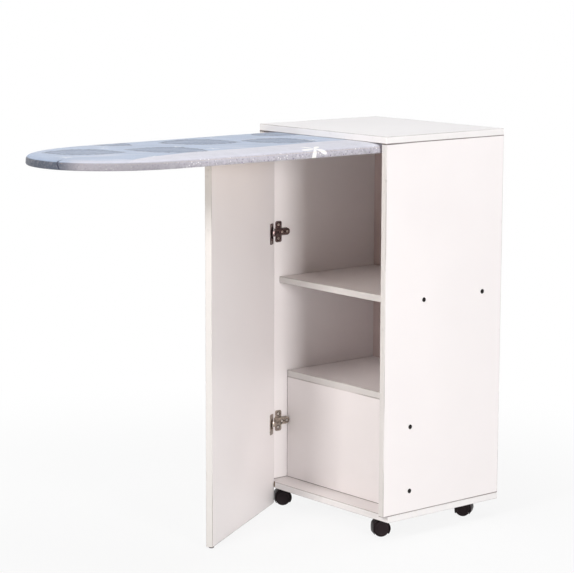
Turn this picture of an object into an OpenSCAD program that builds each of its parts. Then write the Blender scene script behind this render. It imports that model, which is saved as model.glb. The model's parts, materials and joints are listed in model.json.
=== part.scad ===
// Ironing board cabinet on casters, with a mirror on its door.
// The door stands open and props up the padded board, which turns on two pins under the top.
// Lengths are in millimetres. Z is up, and Y runs from the board's tip to the cabinet's back.
// The origin lies on the floor, in the middle of the area that the whole object covers.

/* [Cabinet] */
// Outside width of the cabinet
body_w = 430; // [380:1:520]
// Depth of the side panels
body_d = 354; // [320:1:440]
// Height from the underside of the bottom panel to the top surface
body_h = 850; // [800:1:920]
// Thickness of the coated board that the cabinet is made of
panel_t = 15; // [14:0.5:19]
// Bevel on the panels' edges
panel_bevel = 0.8; // [0.4:0.1:1.5]

/* [Back] */
// Thickness of the hardboard back
back_t = 3; // [2.5:0.5:5]
// Distance from the rear edges of the sides to the back
back_inset = 10; // [6:1:20]
// Depth of the groove that holds the back
groove_depth = 6; // [4:0.5:8]
// Play of the back and the shelves in their places
panel_play = 0.3; // [0.1:0.1:0.6]

/* [Shelves] */
// Height of the partition, which is the clear height below the lower shelf
partition_h = 241; // [180:1:280]
// Clear height between the lower and the middle shelf
middle_space_h = 209; // [160:1:250]
// Distance from the cabinet's front to the middle shelf
shelf_setback = 47; // [45:1:70]
// Distance from the cabinet's front to the partition and the lower shelf
partition_setback = 71; // [71:1:90]
// Distance from the partition's ends to its screws
partition_screw_inset = 48; // [25:1:80]
// Distance from the middle shelf's front edge to its front screws
shelf_screw_front = 68; // [25:1:100]
// Distance from the middle shelf's rear edge to its rear screws
shelf_screw_rear = 47; // [25:1:80]
// Distance from the lower shelf's rear edge to its pegs
peg_rear = 40; // [25:1:80]

/* [Door] */
// Thickness of the door
door_t = 15; // [14.6:0.1:16]
// Gap between the door and the side panels
door_side_gap = 3; // [3:0.5:5]
// Gap between the door and the floor
door_floor_gap = 4; // [3:0.5:12]
// Gap between the door's top edge and the board that it carries
door_top_gap = 0.5; // [0.3:0.1:2]
// Gap between the closed door and the bottom panel
door_stop_gap = 0.5; // [0.3:0.1:1.5]
// How far the door stands open, in degrees
door_open = 59; // [0:1:105]
// Thickness of the mirror
mirror_t = 3; // [3:0.5:5]
// Distance from the door's edges to the mirror
mirror_margin = 20; // [18:1:50]

/* [Door hinges] */
// Diameter of the hinge cup
cup_d = 26; // [25.6:0.1:26.4]
// Depth of the hinge cup in the door
cup_depth = 12.4; // [12:0.1:12.8]
// Distance from the door's edge to the cup
cup_edge = 4; // [3.5:0.1:4.5]
// Wall of the pressed hinge parts
hinge_sheet_t = 2; // [1.8:0.1:2.2]
// Diameter of the hinge pin
hinge_pin_d = 3; // [2.5:0.1:3.2]
// Distance from the door's bottom edge to the lower hinge
lower_hinge_rise = 192; // [100:1:230]
// Distance from the door's top edge to the upper hinge
upper_hinge_drop = 213; // [100:1:280]
// Distance between the screws of a mounting plate
plate_screw_pitch = 32; // [30:1:36]
// Distance from the cabinet's front to the mounting plates
plate_setback = 43; // [42:1:44]

/* [Ironing board] */
// How far the board reaches out of the cabinet
board_reach = 737; // [600:1:760]
// Gap between the board and the cabinet's sides
board_side_gap = 8; // [8:0.5:40]
// How much narrower the board is where its nose begins
board_taper = 22; // [0:1:120]
// Length of the rounded nose
nose_l = 237; // [140:1:300]
// Roundness of the nose: 2 is an ellipse, more is fuller
nose_roundness = 2.1; // [2:0.05:2.8]
// Thickness of the board's core
core_t = 12; // [10:0.5:15]
// Thickness of the felt pad on the core
pad_t = 4.3; // [3:0.1:8]
// Thickness of the fabric cover
cover_t = 1; // [0.8:0.1:1.5]
// Width of the cover's hem under the board
cover_hem = 24; // [12:1:40]
// Gap between the board and the top panel
board_top_gap = 3.2; // [2.5:0.1:6]
// Distance from the cabinet's front to the pins that the board turns on
pivot_setback = 35; // [33:1:38]
// How far the board reaches behind its pins
board_tail = 14; // [10:1:24]
// Diameter of the board's pivot pins
pivot_d = 6; // [5:0.5:7]
// Depth of the pivot pins in the core
pivot_in_core = 30; // [20:1:45]

/* [Casters] */
// Height of the casters
caster_h = 42; // [42:0.5:60]
// Diameter of the caster wheels
wheel_d = 36; // [30:0.5:36]
// Width over both wheels of a caster
caster_w = 29; // [27:0.5:30]
// Distance from the kingpin's axis to the wheels' axle
caster_trail = 13; // [11:0.5:14]
// Distance from the cabinet's side to the kingpins
caster_side_inset = 44; // [40:1:70]
// Distance from the bottom panel's front edge to the front kingpins
caster_front_inset = 34; // [34:1:60]
// Distance from the cabinet's rear to the rear kingpins
caster_rear_inset = 46; // [40:1:80]
// How far the front left caster is turned from facing forward, in degrees
front_left_turn = -30; // [-180:1:180]
// How far the front right caster is turned, in degrees
front_right_turn = -28; // [-180:1:180]
// How far the rear left caster is turned, in degrees
rear_left_turn = -24; // [-180:1:180]
// How far the rear right caster is turned, in degrees
rear_right_turn = -57; // [-180:1:180]

/* [Hidden] */
$fn = 96;
// Running clearance of pins and shafts, on the radius
run_fit = 0.05;
// Clearance of screws, dowels and bushes in their holes, on the radius
seat_fit = 0.02;
// Overlap of cutters past a face
cut = 1;

// Heights and places that follow from the sizes above
floor_of_body = caster_h;
inner_w = body_w - 2 * panel_t;
bottom_top_z = floor_of_body + panel_t;
body_top_z = floor_of_body + body_h;
top_under_z = body_top_z - panel_t;
side_h = body_h - 2 * panel_t;
bottom_setback = door_t + door_stop_gap;
back_face_y = body_d - back_inset - back_t;
partition_top_z = bottom_top_z + partition_h;
lower_shelf_top_z = partition_top_z + panel_t;
middle_shelf_z = lower_shelf_top_z + middle_space_h;
shelf_screw_y = [shelf_setback + shelf_screw_front, back_face_y - shelf_screw_rear];
partition_screw_z = [bottom_top_z + partition_screw_inset, partition_top_z - partition_screw_inset];
partition_mid_y = partition_setback + panel_t / 2;
peg_y = back_face_y - peg_rear;

// Board
board_w = inner_w - 2 * board_side_gap;
board_nose_w = board_w - board_taper;
board_t = core_t + pad_t + 2 * cover_t;
board_top_z = top_under_z - board_top_gap;
board_under_z = board_top_z - board_t;
pivot_z = board_under_z + cover_t + core_t / 2;
pivot_y = pivot_setback;
nose_start = board_reach - nose_l;
nose_points = 28;

// Door, in its closed place
door_w = inner_w - 2 * door_side_gap;
door_top_z = board_under_z - door_top_gap;
door_h = door_top_z - door_floor_gap;
door_edge_x = -door_w / 2;
lower_hinge_z = door_floor_gap + lower_hinge_rise;
upper_hinge_z = door_top_z - upper_hinge_drop;

// Hinges: the pin lies in the cup, near the door's edge
cup_r = cup_d / 2;
cup_wall = 1.05;
cup_x = door_edge_x + cup_edge + cup_r;
pin_from_cup = 7;
pin_from_face = 8;
pin_l = 17.6;
hinge_x = cup_x - pin_from_cup;
hinge_y = door_t - pin_from_face;
corner_swing = norm([hinge_x - door_edge_x, pin_from_face]);
ear_w = 2.6;
ear_gap = 0.4;
eye_r = 2.7;
strap_w = 12;
neck_reach = 13.3;
neck_steps = 8;

// Hinge arms and mounting plates: distances along them count from the plates' screws
arm_w = 16;
arm_tail = 27;
arm_back_y = plate_setback + arm_tail;
arm_proud = 10;
arm_web_x = -inner_w / 2 + arm_proud - hinge_sheet_t;
arm_screw_d = 3.4;
arm_screw_head_d = 6.4;
arm_screw_y = [4, arm_tail - arm_w / 2];
arm_slot_w = 4.8;
arm_slots = [[-12, -3], [8.6, 14.4]];
plate_l = 18;
plate_h = 49;
plate_corner = 4.5;
bar_l = 45;
bar_front = 20;
ridge_l = 38;
ridge_front = 14;
ridge_w = 9.2;
coin_depth = 0.7;
plate_screw_d = 4;
plate_screw_head_d = 7;
plate_screw_l = 13;

// The cup's flange on the door's inner face: distances across it count from the cup's axis
flange_h = 48;
flange_t = 1.2;
flange_span = [-8, 12.5];
flange_corner = 3;
mouth_span = 9.2;
cup_screw_pitch = 38;
cup_screw_x = 5;
cup_screw_d = 3.4;
cup_screw_head_d = 6;
cup_screw_l = 11;

// Screws and dowels
screw_d = 5;
screw_head_d = 7.5;
side_screw_l = 50;
bottom_screw_l = 48;
dowel_d = 8;
dowel_l = 30;
dowel_in_top = 10;
dowel_inset = 45;
peg_d = 5;
peg_in_side = 9;
peg_out = 9;

// Board pivot
bush_d = 10;
bush_l = 12;
collar_d = 16;
collar_gap = 0.7;

// Casters
wheel_r = wheel_d / 2;
axle_z = wheel_r;
web_w = 11;
wheel_side_gap = 0.5;
plate_size = 36;
caster_plate_t = 2;
caster_screw_pitch = 27;
kingpin_d = 6;
kingpin_head_d = 10;
kingpin_head_t = 1.6;
head_recess = 2.6;
axle_d = 4;
axle_l = caster_w - 4.2;
hood_t = 1.3;
hood_gap = 1;
caster_ends = [bottom_setback + caster_front_inset, body_d - caster_rear_inset];

// The cabinet's front plane in the part's frame, which centres the whole object over the origin
front_y = (board_reach - body_d) / 2;

// ---- Shared shapes and places ----

// Puts what is drawn from the cabinet's front plane into the part's frame
module placed() {
    translate([0, front_y, 0]) children();
}

// Turns what is drawn on the closed door to where the door stands
module on_door() {
    placed() translate([hinge_x, hinge_y, 0]) rotate([0, 0, -door_open])
        translate([-hinge_x, -hinge_y, 0]) children();
}

// A rectangle with cut corners
module cut_rectangle(a, b, c) {
    polygon([[c, 0], [a - c, 0], [a, c], [a, b - c], [a - c, b], [c, b], [0, b - c], [0, c]]);
}

// A panel with every edge bevelled, from its lowest corner
module slab(size, bevel = panel_bevel) {
    intersection() {
        linear_extrude(size[2]) cut_rectangle(size[0], size[1], bevel);
        translate([0, size[1], 0]) rotate([90, 0, 0]) linear_extrude(size[1])
            cut_rectangle(size[0], size[2], bevel);
        rotate([90, 0, 90]) linear_extrude(size[0]) cut_rectangle(size[1], size[2], bevel);
    }
}

// A plate with rounded corners, centred, from z = 0 up
module rounded_plate(a, b, t, r) {
    translate([-a / 2, r - b / 2, 0]) cube([a, b - 2 * r, t]);
    translate([r - a / 2, -b / 2, 0]) cube([a - 2 * r, b, t]);
    for (x = [r - a / 2, a / 2 - r], y = [r - b / 2, b / 2 - r]) translate([x, y, 0]) cylinder(h = t, r = r);
}

// A countersunk screw whose head is flush with z = 0 and whose shank runs down
module screw(d, l, head_d, fit = 0) {
    head_h = (head_d - d) / 2;
    difference() {
        union() {
            translate([0, 0, -head_h]) cylinder(h = head_h, d1 = d + 2 * fit, d2 = head_d + 2 * fit);
            translate([0, 0, -l]) cylinder(h = l - head_h, d = d + 2 * fit);
        }
        if (fit == 0) translate([0, 0, -head_h]) cylinder(h = head_h + cut, d = d * 0.6, $fn = 6);
    }
}

// Repeats its child on the left and, mirrored, on the right
module both_sides() {
    for (side = [0, 1]) mirror([side, 0, 0]) children();
}

// ---- Cabinet panels ----

// The screws that hold the middle shelf and the partition, through the left side
module left_side_screws(fit = 0) {
    for (y = shelf_screw_y) translate([-body_w / 2, y, middle_shelf_z + panel_t / 2])
        rotate([0, -90, 0]) screw(screw_d, side_screw_l, screw_head_d, fit);
    for (z = partition_screw_z) translate([-body_w / 2, partition_mid_y, z])
        rotate([0, -90, 0]) screw(screw_d, side_screw_l, screw_head_d, fit);
}

// The screws that hold the left side on the bottom panel
module left_bottom_screws(fit = 0) {
    for (y = [bottom_setback + dowel_inset, body_d / 2, body_d - dowel_inset])
        translate([-body_w / 2 + panel_t / 2, y, floor_of_body]) rotate([180, 0, 0])
            screw(screw_d, bottom_screw_l, screw_head_d, fit);
}

// The dowels between the left side and the top
module left_dowels(fit = 0) {
    for (y = [dowel_inset, body_d / 2, body_d - dowel_inset])
        translate([-body_w / 2 + panel_t / 2, y, top_under_z + dowel_in_top - dowel_l - fit])
            cylinder(h = dowel_l + 2 * fit, d = dowel_d + 2 * fit);
}

// The peg that carries the lower shelf on the left
module left_peg(fit = 0) {
    translate([-inner_w / 2 - peg_in_side - fit, peg_y, partition_top_z - peg_d / 2]) rotate([0, 90, 0])
        cylinder(h = peg_in_side + peg_out + fit, d = peg_d + 2 * fit);
}

// The groove for the back, with its play
module back_space(grow) {
    translate([-inner_w / 2 - groove_depth - grow, back_face_y, bottom_top_z - groove_depth - grow])
        cube([inner_w + 2 * (groove_depth + grow), back_t + grow,
              side_h + 2 * (groove_depth + grow)]);
}

module side_panel() {
    difference() {
        translate([-body_w / 2, 0, bottom_top_z]) slab([panel_t, body_d, side_h]);
        back_space(panel_play);
        left_side_screws(seat_fit);
        left_bottom_screws(seat_fit);
        left_dowels(seat_fit);
        left_peg(seat_fit);
        translate([-inner_w / 2 - bush_l - panel_play, pivot_y, pivot_z]) rotate([0, 90, 0])
            cylinder(h = bush_l + panel_play + cut, d = bush_d + 2 * seat_fit);
    }
}

module left_side() {
    color("white") placed() difference() {
        side_panel();
        for (z = [lower_hinge_z, upper_hinge_z]) plate_screws(z, seat_fit);
    }
}

module right_side() {
    color("white") placed() mirror([1, 0, 0]) side_panel();
}

module top_panel() {
    color("white") placed() difference() {
        translate([-body_w / 2, 0, top_under_z]) slab([body_w, body_d, panel_t]);
        back_space(panel_play);
        both_sides() left_dowels(seat_fit);
    }
}

module bottom_panel() {
    color("white") placed() difference() {
        translate([-body_w / 2, bottom_setback, floor_of_body])
            slab([body_w, body_d - bottom_setback, panel_t]);
        back_space(panel_play);
        both_sides() left_bottom_screws(seat_fit);
        // Relief for the door's inner corner, which swings past the panel's front edge
        translate([hinge_x, hinge_y, floor_of_body - cut])
            cylinder(h = panel_t + 2 * cut, r = corner_swing + door_stop_gap);
        for (side = [-1, 1], y = caster_ends) at_caster(side, y) {
            translate([0, 0, floor_of_body - cut])
                cylinder(h = head_recess + cut, d = kingpin_head_d + 2);
            caster_plate_holes(seat_fit);
        }
    }
}

module back_panel() {
    color("white") placed() back_space(0);
}

module middle_shelf() {
    color("white") placed() difference() {
        translate([-inner_w / 2, shelf_setback, middle_shelf_z])
            slab([inner_w, back_face_y - shelf_setback, panel_t]);
        both_sides() left_side_screws(seat_fit);
    }
}

module lower_shelf() {
    color("white") placed()
        translate([-inner_w / 2 + panel_play, partition_setback, partition_top_z])
            slab([inner_w - 2 * panel_play, back_face_y - partition_setback, panel_t]);
}

module lower_partition() {
    color("white") placed() difference() {
        translate([-inner_w / 2, partition_setback, bottom_top_z])
            slab([inner_w, panel_t, partition_h]);
        both_sides() left_side_screws(seat_fit);
    }
}

module panel_dowels() {
    color("burlywood") placed() both_sides() left_dowels();
}

module bottom_screws() {
    color("dimgray") placed() both_sides() left_bottom_screws();
}

module side_screws() {
    color("dimgray") placed() both_sides() left_side_screws();
}

module shelf_pegs() {
    color("silver") placed() both_sides() left_peg();
}

// ---- Door hinges ----

// A point on the curve that leaves p[0] towards p[1] and reaches p[3] from p[2]
function on_curve(p, s) =
    pow(1 - s, 3) * p[0] + 3 * pow(1 - s, 2) * s * p[1] + 3 * (1 - s) * s * s * p[2] + pow(s, 3) * p[3];

function curve(p, steps) = [for (i = [0 : steps]) on_curve(p, i / steps)];

// A strap of even thickness along a line of points
module strap(points, t) {
    last = len(points) - 1;
    side = [for (i = [0 : last]) let (step = points[min(i + 1, last)] - points[max(i - 1, 0)])
        [-step[1], step[0]] * t / 2 / norm(step)];
    polygon(concat([for (i = [0 : last]) points[i] + side[i]],
                   [for (i = [last : -1 : 0]) points[i] - side[i]]));
}

// The screws of one mounting plate, into the left side
module plate_screws(z, fit = 0) {
    for (dz = [-0.5, 0.5] * plate_screw_pitch)
        translate([-inner_w / 2 + hinge_sheet_t - coin_depth, plate_setback, z + dz]) rotate([0, 90, 0])
            screw(plate_screw_d, plate_screw_l, plate_screw_head_d, fit);
}

// Cross-shaped plate with a ridge that guides the arm and a coined seat round each screw
module hinge_plate(z) {
    seat_w = plate_screw_head_d + 2;
    seat_h = seat_w + 3;
    color("rosybrown") placed() difference() {
        translate([-inner_w / 2, plate_setback, z]) {
            rotate([90, 0, 90]) rounded_plate(plate_l, plate_h, hinge_sheet_t, plate_corner);
            translate([0, -bar_front, -arm_w / 2]) cube([hinge_sheet_t, bar_l, arm_w]);
            translate([0, -ridge_front, -ridge_w / 2])
                cube([arm_web_x + inner_w / 2 - panel_play, ridge_l, ridge_w]);
        }
        for (dz = [-0.5, 0.5] * plate_screw_pitch)
            translate([-inner_w / 2 + hinge_sheet_t - coin_depth, plate_setback, z + dz]) rotate([90, 0, 90])
                rounded_plate(seat_w, seat_h, coin_depth + cut, seat_w / 2 - 0.5);
        plate_screws(z, seat_fit);
        arm_screws(z, seat_fit);
    }
}

// The two screws that hold and adjust the arm on its plate
module arm_screws(z, fit = 0) {
    for (y = arm_screw_y)
        translate([arm_web_x + hinge_sheet_t, plate_setback + y, z]) rotate([0, 90, 0])
            screw(arm_screw_d, arm_proud - 1, arm_screw_head_d, fit);
}

// Channel over the plate, with a curved strap that ends in the eye on the pin
module hinge_arm(z) {
    web = [arm_web_x - hinge_x + hinge_sheet_t / 2, plate_setback - ridge_front - hinge_y];
    crest = [1, 0.45] * neck_reach;
    in_cup = curve([[0, 0], [0.6, -0.165] * neck_reach, [1, -0.15] * neck_reach, crest], neck_steps);
    round_rim = curve([crest, [1, 1.28] * neck_reach, [web[0], web[1] - 0.83 * neck_reach], web], neck_steps);
    neck = concat(in_cup, [for (i = [1 : neck_steps]) round_rim[i]], [web + [0, hinge_sheet_t]]);
    wall_back_y = arm_back_y - arm_w / 2;
    wall_front_y = plate_setback - ridge_front - hinge_sheet_t;
    color("rosybrown") placed() difference() {
        union() {
            translate([hinge_x, hinge_y, z - strap_w / 2]) linear_extrude(strap_w) difference() {
                union() {
                    strap(neck, hinge_sheet_t);
                    circle(r = eye_r);
                }
                circle(d = hinge_pin_d + 2 * run_fit);
            }
            translate([arm_web_x, hinge_y + web[1], z - arm_w / 2])
                cube([hinge_sheet_t, wall_back_y - hinge_y - web[1], arm_w]);
            translate([arm_web_x, wall_back_y, z]) rotate([0, 90, 0])
                cylinder(h = hinge_sheet_t, d = arm_w);
            for (dz = [-arm_w / 2, arm_w / 2 - hinge_sheet_t])
                translate([-inner_w / 2 + hinge_sheet_t, wall_front_y, z + dz])
                    cube([arm_web_x + inner_w / 2 - hinge_sheet_t / 2, wall_back_y - wall_front_y,
                          hinge_sheet_t]);
        }
        arm_screws(z, seat_fit);
        for (slot = arm_slots)
            translate([arm_web_x - cut, plate_setback + slot[0], z - arm_slot_w / 2])
                cube([hinge_sheet_t + 2 * cut, slot[1] - slot[0], arm_slot_w]);
    }
}

module hinge_plate_screws() {
    color("tan") placed() {
        plate_screws(lower_hinge_z);
        plate_screws(upper_hinge_z);
    }
}

module hinge_arm_screws() {
    color("dimgray") placed() {
        arm_screws(lower_hinge_z);
        arm_screws(upper_hinge_z);
    }
}

// The pin of one hinge, in the closed door
module hinge_pin(z, fit = 0) {
    translate([hinge_x, hinge_y, z - pin_l / 2]) cylinder(h = pin_l, d = hinge_pin_d + 2 * fit);
}

// The screws of one cup's flange
module cup_screws(z, fit = 0) {
    for (dz = [-0.5, 0.5] * cup_screw_pitch)
        translate([cup_x + cup_screw_x, door_t + flange_t, z + dz]) rotate([-90, 0, 0])
            screw(cup_screw_d, cup_screw_l, cup_screw_head_d, fit);
}

// Cup with ears for the pin and a flange on the door's inner face, whose mouth the arm leaves through
module hinge_cup(z) {
    ear_l = 2 * eye_r + 1;
    flange_mid = (flange_span[0] + flange_span[1]) / 2;
    color("rosybrown") on_door() difference() {
        union() {
            translate([cup_x, door_t, z]) rotate([90, 0, 0]) difference() {
                cylinder(h = cup_depth, r = cup_r);
                translate([0, 0, -cut]) cylinder(h = cup_depth + cut - 0.9, r = cup_r - cup_wall);
            }
            intersection() {
                translate([cup_x, door_t, z]) rotate([90, 0, 0])
                    cylinder(h = cup_depth, r = cup_r - cup_wall / 2);
                for (dz = [-strap_w / 2 - ear_gap - ear_w, strap_w / 2 + ear_gap])
                    translate([hinge_x - ear_l / 2, door_t - cup_depth, z + dz])
                        cube([ear_l, cup_depth - pin_from_face / 2, ear_w]);
            }
            difference() {
                translate([cup_x + flange_mid, door_t + flange_t, z]) rotate([90, 0, 0])
                    rounded_plate(flange_span[1] - flange_span[0], flange_h, flange_t, flange_corner);
                intersection() {
                    translate([cup_x, door_t + flange_t + cut, z]) rotate([90, 0, 0])
                        cylinder(h = flange_t + 2 * cut, r = cup_r - cup_wall);
                    translate([cup_x - cup_r, door_t - cut, z - cup_r])
                        cube([cup_r + mouth_span, flange_t + 2 * cut, cup_d]);
                }
            }
        }
        hinge_pin(z, seat_fit);
        cup_screws(z, seat_fit);
    }
}

module hinge_pins() {
    color("silver") on_door() {
        hinge_pin(lower_hinge_z);
        hinge_pin(upper_hinge_z);
    }
}

module hinge_cup_screws() {
    color("tan") on_door() {
        cup_screws(lower_hinge_z);
        cup_screws(upper_hinge_z);
    }
}

// ---- Door ----

// Foot nail under the door's free corner, which takes the load on the board's tip
module glide(fit = 0) {
    foot_d = 12;
    foot_clearance = 0.3;
    translate([-door_edge_x - 11, door_t / 2, 0]) {
        if (fit == 0) translate([0, 0, foot_clearance]) {
            cylinder(h = 1.2, d1 = foot_d - 2, d2 = foot_d);
            translate([0, 0, 1.2]) cylinder(h = door_floor_gap - foot_clearance - 1.2, d = foot_d);
        }
        translate([0, 0, door_floor_gap - 0.5]) cylinder(h = 14, d = 2.6 + 2 * fit);
    }
}

module door_panel() {
    color("white") on_door() difference() {
        translate([door_edge_x, 0, door_floor_gap]) slab([door_w, door_t, door_h]);
        for (z = [lower_hinge_z, upper_hinge_z]) {
            translate([cup_x, door_t + cut, z]) rotate([90, 0, 0])
                cylinder(h = cup_depth + cut + seat_fit, r = cup_r + seat_fit);
            cup_screws(z, seat_fit);
        }
        glide(seat_fit);
    }
}

module mirror_glass() {
    color("lightsteelblue") on_door()
        translate([door_edge_x + mirror_margin, -mirror_t, door_floor_gap + mirror_margin])
            slab([door_w - 2 * mirror_margin, mirror_t, door_h - 2 * mirror_margin], mirror_t / 4);
}

module door_glide() {
    color("dimgray") on_door() glide();
}

// ---- Ironing board ----

// Half the board's width at a distance out from the cabinet's front
function half_width(out) =
    (board_w + (board_nose_w - board_w) * max(0, out) / nose_start) / 2;

// The board's outline, drawn smaller by an inset
module outline(inset = 0) {
    nose_half = half_width(nose_start) - inset;
    nose_len = nose_l - inset;
    power = 2 / nose_roundness;
    side = [[half_width(0) - inset, board_tail + pivot_y - inset], [half_width(0) - inset, 0],
            for (i = [0 : nose_points]) let (a = 90 * i / nose_points)
                [nose_half * pow(cos(a), power), -nose_start - nose_len * pow(sin(a), power)]];
    polygon(concat(side, [for (i = [len(side) - 2 : -1 : 0]) [-side[i][0], side[i][1]]]));
}

// The pin on the board's left side
module left_pivot_pin(fit = 0) {
    inner_x = -half_width(0) + cover_t + pivot_in_core;
    outer_x = -inner_w / 2 - bush_l + 0.5;
    translate([outer_x, pivot_y, pivot_z]) rotate([0, 90, 0])
        cylinder(h = inner_x - outer_x, d = pivot_d + 2 * fit);
}

module board_core() {
    color("peru") placed() difference() {
        translate([0, 0, board_under_z + cover_t]) linear_extrude(core_t) outline(cover_t);
        both_sides() left_pivot_pin(seat_fit);
    }
}

module board_pad() {
    color("gainsboro") placed() translate([0, 0, board_under_z + cover_t + core_t])
        linear_extrude(pad_t) outline(cover_t);
}

module board_cover() {
    color("lightsteelblue") placed() difference() {
        translate([0, 0, board_under_z]) linear_extrude(board_t) outline();
        translate([0, 0, board_under_z + cover_t]) linear_extrude(core_t + pad_t) outline(cover_t);
        translate([0, 0, board_under_z - cut]) linear_extrude(cover_t + 2 * cut) outline(cover_hem);
        both_sides() left_pivot_pin(panel_play);
    }
}

module board_pivot_pins() {
    color("silver") placed() both_sides() left_pivot_pin();
}

// Bushes in the sides, whose collars keep the board in the middle
module board_bushes() {
    collar_l = (inner_w - board_w) / 2 - collar_gap;
    color("whitesmoke") placed() both_sides() difference() {
        translate([-inner_w / 2 - bush_l, pivot_y, pivot_z]) rotate([0, 90, 0]) {
            cylinder(h = bush_l + cut, d = bush_d);
            translate([0, 0, bush_l]) cylinder(h = collar_l, d = collar_d);
        }
        translate([-inner_w / 2 - bush_l - cut, pivot_y, pivot_z]) rotate([0, 90, 0])
            cylinder(h = bush_l + collar_l + 2 * cut, d = pivot_d + 2 * run_fit);
    }
}

// ---- Casters ----

// Puts its children at a kingpin, turned about it: side is -1 or 1, y is the distance from the front
module at_caster(side, y, turn = 0) {
    translate([side * (body_w / 2 - caster_side_inset), y, 0]) rotate([0, 0, turn]) children();
}

// The screws of one caster plate, up into the bottom panel
module caster_plate_holes(fit = 0) {
    for (dx = [-0.5, 0.5] * caster_screw_pitch, dy = [-0.5, 0.5] * caster_screw_pitch)
        translate([dx, dy, floor_of_body - caster_plate_t]) rotate([180, 0, 0])
            screw(3, 13, 5.6, fit);
}

module caster_plate(side, y) {
    color("dimgray") placed() at_caster(side, y) difference() {
        translate([0, 0, floor_of_body - caster_plate_t])
            rounded_plate(plate_size, plate_size, caster_plate_t, 4);
        translate([0, 0, floor_of_body - caster_plate_t - cut])
            cylinder(h = caster_plate_t + 2 * cut, d = kingpin_d + 2 * run_fit);
        caster_plate_holes(seat_fit);
    }
}

module caster_plate_screws() {
    color("silver") placed() for (side = [-1, 1], y = caster_ends) at_caster(side, y)
        caster_plate_holes();
}

// Kingpin, with its head above the plate and its shank pressed into the housing
module kingpin(fit = 0) {
    shank_z = axle_z + axle_d / 2 + 3;
    translate([0, 0, shank_z]) cylinder(h = floor_of_body + kingpin_head_t - shank_z,
                                        d = kingpin_d + 2 * fit);
    if (fit == 0) translate([0, 0, floor_of_body + 0.1])
        cylinder(h = kingpin_head_t, d = kingpin_head_d);
}

// The axle, across the housing and into both wheels
module axle(fit = 0, l = axle_l) {
    translate([-l / 2, -caster_trail, axle_z]) rotate([0, 90, 0]) cylinder(h = l, d = axle_d + 2 * fit);
}

// Web between the wheels with a fender over them and a collar under the plate
module caster_housing(side, y, turn) {
    fender_in = wheel_r + hood_gap;
    fender_out = fender_in + hood_t;
    collar_top = floor_of_body - caster_plate_t - 0.3;
    front_angle = 38;
    color("black") placed() at_caster(side, y, turn) difference() {
        union() {
            translate([0, -caster_trail, axle_z]) rotate([90, 0, 90]) {
                difference() {
                    translate([0, 0, -caster_w / 2]) cylinder(h = caster_w, r = fender_out);
                    translate([0, 0, -caster_w / 2 - cut]) cylinder(h = caster_w + 2 * cut, r = fender_in);
                    translate([0, 0, -caster_w / 2 - cut]) linear_extrude(caster_w + 2 * cut) polygon([
                        [0, 0], [-3 * wheel_r * cos(front_angle), 3 * wheel_r * sin(front_angle)],
                        [-3 * wheel_r, -3 * wheel_r], [3 * wheel_r, -3 * wheel_r], [3 * wheel_r, 0]]);
                }
                translate([0, 0, -web_w / 2]) cylinder(h = web_w, r = wheel_r - 5);
            }
            translate([-web_w / 2, -caster_trail - 6, axle_z])
                cube([web_w, caster_trail + 6, wheel_r + hood_gap + hood_t / 2]);
            translate([0, 0, axle_z + 3]) cylinder(h = wheel_r + hood_gap - 3, d = web_w);
            translate([0, 0, fender_out + axle_z - 6]) cylinder(h = collar_top - fender_out - axle_z + 6,
                                                             d = 18);
        }
        kingpin(seat_fit);
        axle(run_fit, web_w + 2 * cut);
        wheel_space();
    }
}

// The room that both wheels turn in
module wheel_space() {
    for (dir = [0, 1]) mirror([dir, 0, 0])
        translate([web_w / 2, -caster_trail, axle_z]) rotate([0, 90, 0])
            cylinder(h = caster_w, r = wheel_r + hood_gap / 2);
}

module caster_kingpin(side, y, turn) {
    color("silver") placed() at_caster(side, y, turn) kingpin();
}

module caster_axle(side, y, turn) {
    color("silver") placed() at_caster(side, y, turn) axle();
}

// Two wheels with rounded treads and a dished outer face
module caster_wheels(side, y, turn) {
    wheel_w = (caster_w - web_w) / 2 - wheel_side_gap;
    edge = 2.4;
    color("black") placed() at_caster(side, y, turn) for (dir = [0, 1]) mirror([dir, 0, 0])
        translate([caster_w / 2 - wheel_w, -caster_trail, axle_z]) rotate([0, 90, 0]) difference() {
            rotate_extrude() {
                polygon([[0, 0], [wheel_r - 1, 0], [wheel_r, 1], [wheel_r, wheel_w - edge],
                         [wheel_r - 0.7, wheel_w - 0.7], [wheel_r - edge, wheel_w],
                         [wheel_r - 5, wheel_w], [wheel_r - 6, wheel_w - 0.8], [0, wheel_w - 0.8]]);
            }
            translate([0, 0, -cut]) cylinder(h = cut + wheel_w - 2, d = axle_d + 2 * seat_fit);
        }
}

// ---- Nodes ----

top_panel();
left_side();
right_side();
bottom_panel();
back_panel();
middle_shelf();
lower_shelf();
lower_partition();
panel_dowels();
bottom_screws();
side_screws();
shelf_pegs();
hinge_plate(upper_hinge_z);  // upper_hinge_plate
hinge_plate(lower_hinge_z);  // lower_hinge_plate
hinge_arm(upper_hinge_z);  // upper_hinge_arm
hinge_arm(lower_hinge_z);  // lower_hinge_arm
hinge_plate_screws();
hinge_arm_screws();
board_bushes();
door_panel();
mirror_glass();  // mirror
hinge_cup(upper_hinge_z);  // upper_hinge_cup
hinge_cup(lower_hinge_z);  // lower_hinge_cup
hinge_pins();
hinge_cup_screws();
door_glide();
board_core();
board_pad();
board_cover();
board_pivot_pins();
caster_plate_screws();
caster_plate(-1, caster_ends[0]);  // front_left_caster_plate
caster_plate(1, caster_ends[0]);  // front_right_caster_plate
caster_plate(-1, caster_ends[1]);  // rear_left_caster_plate
caster_plate(1, caster_ends[1]);  // rear_right_caster_plate
caster_housing(-1, caster_ends[0], front_left_turn);  // front_left_caster_housing
caster_housing(1, caster_ends[0], front_right_turn);  // front_right_caster_housing
caster_housing(-1, caster_ends[1], rear_left_turn);  // rear_left_caster_housing
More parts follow.
